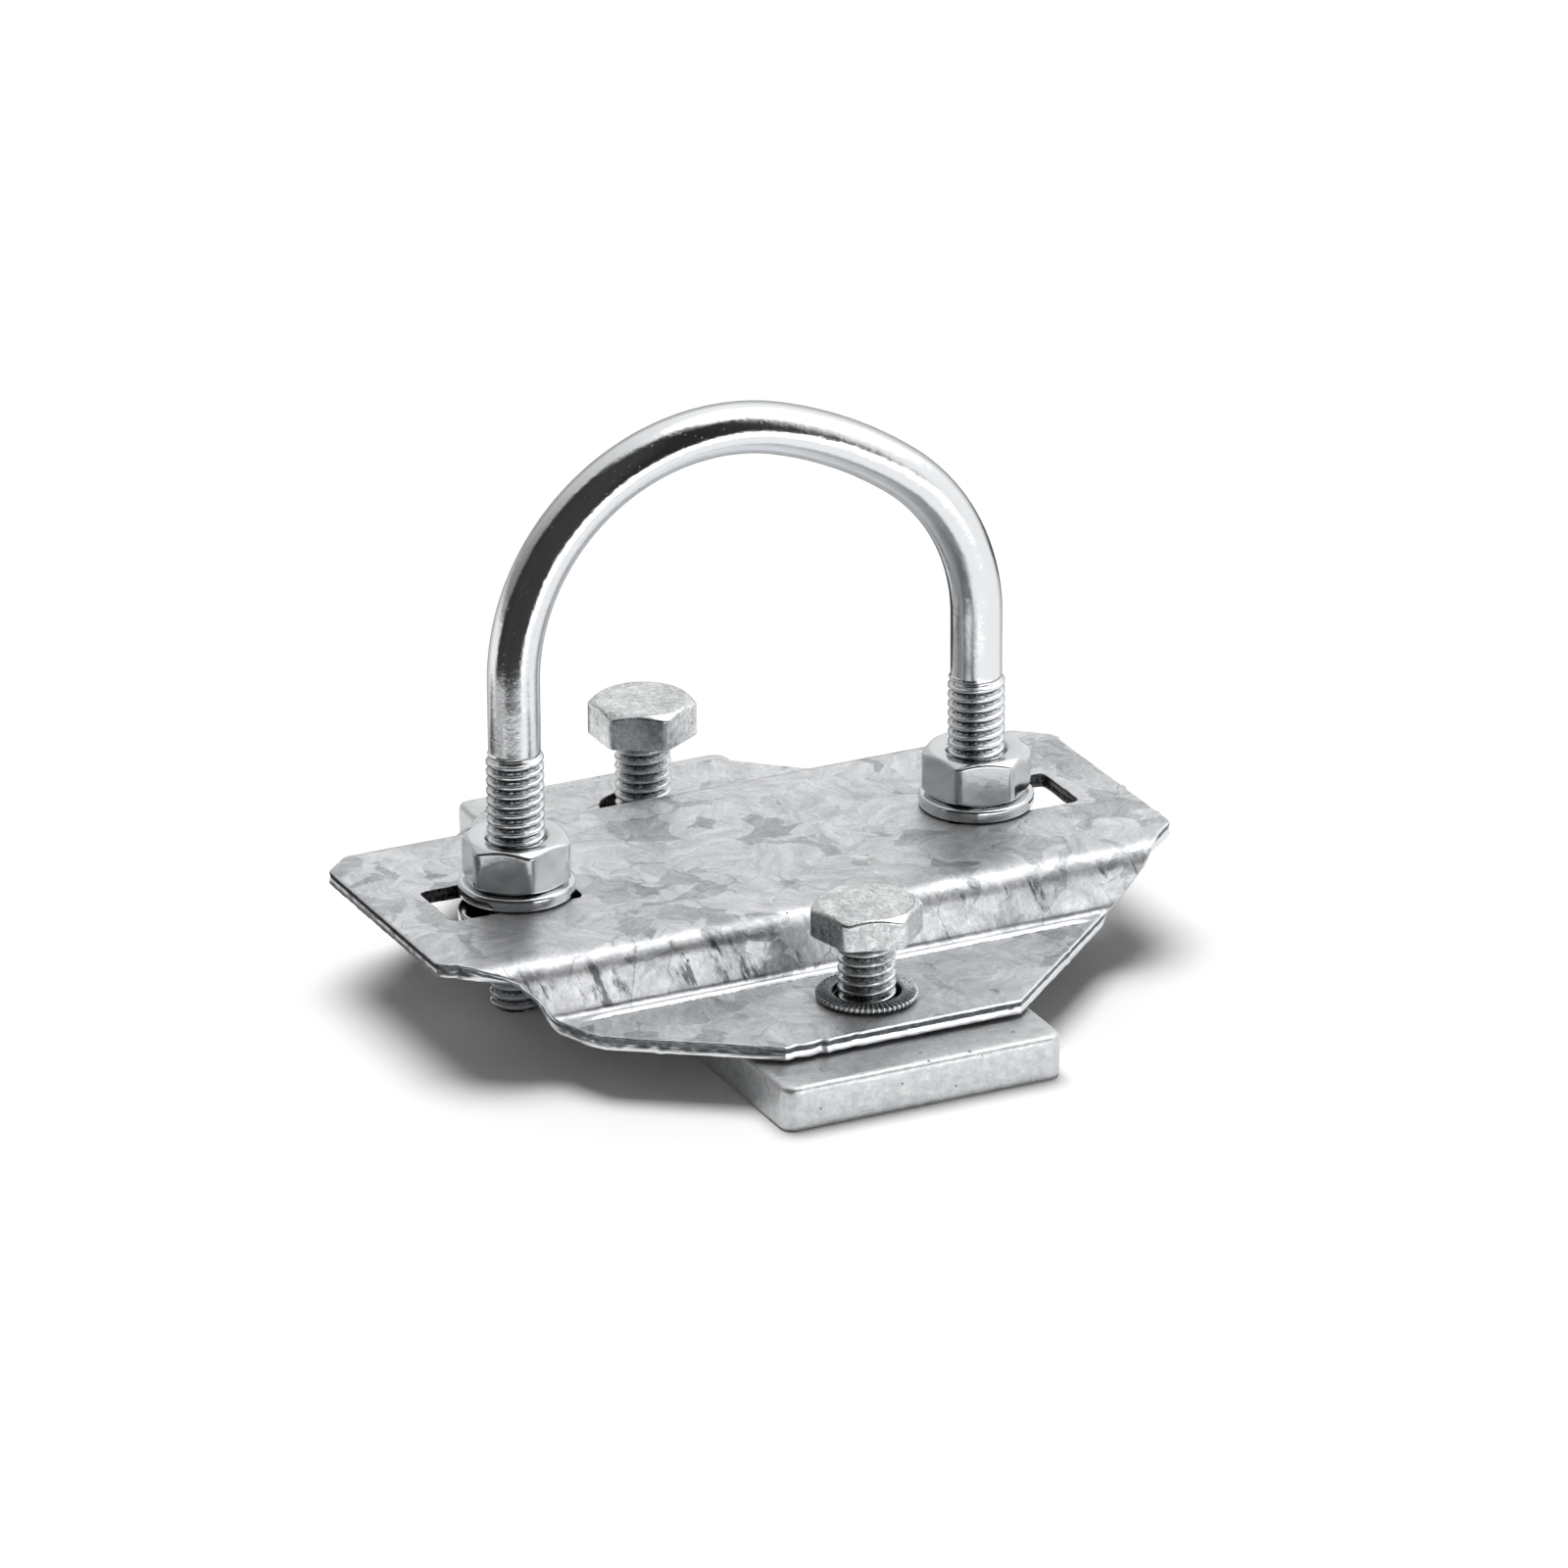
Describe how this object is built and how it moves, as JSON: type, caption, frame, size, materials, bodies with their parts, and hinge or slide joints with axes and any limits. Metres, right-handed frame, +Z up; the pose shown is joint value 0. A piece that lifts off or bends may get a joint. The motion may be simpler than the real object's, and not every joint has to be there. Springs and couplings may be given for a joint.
{
  "type": "u-bolt bracket",
  "caption": "Pressed steel bracket on a U-bolt for a round sign post, with a bolted clamp plate under each flange to grip the channel on a sign's back.",
  "frame": {"origin": "on the floor, under the middle of the bracket", "axes": "+Z up from the clamp plates to the U-bolt's crown, +X from the left leg to the right leg, the front flange on the -Y side; the post runs along Y"},
  "size_m": [0.138, 0.1382, 0.1019],
  "materials": {
    "galvanised_sheet": "hot-dip galvanised sheet with a soft spangle",
    "bright_zinc": "bright zinc plated rod, nearly a mirror",
    "zinc_fastener": "clear zinc plated, glossy",
    "dark_spring_steel": "dull phosphated spring steel",
    "satin_zinc_bar": "zinc plated rolled bar, satin and lightly pitted"
  },
  "bodies": {
    "root": {"bracket_plate": "galvanised_sheet", "u_bolt": "bright_zinc", "upper_washer_left": "zinc_fastener", "upper_washer_right": "zinc_fastener", "upper_nut_left": "zinc_fastener", "upper_nut_right": "zinc_fastener", "lower_washer_left": "zinc_fastener", "lower_washer_right": "zinc_fastener", "lower_nut_left": "zinc_fastener", "lower_nut_right": "zinc_fastener", "clamp_bolt_front": "zinc_fastener", "clamp_bolt_rear": "zinc_fastener", "lock_washer_front": "dark_spring_steel", "clamp_plate_front": "satin_zinc_bar", "clamp_plate_rear": "satin_zinc_bar"}
  },
  "joints": []
}
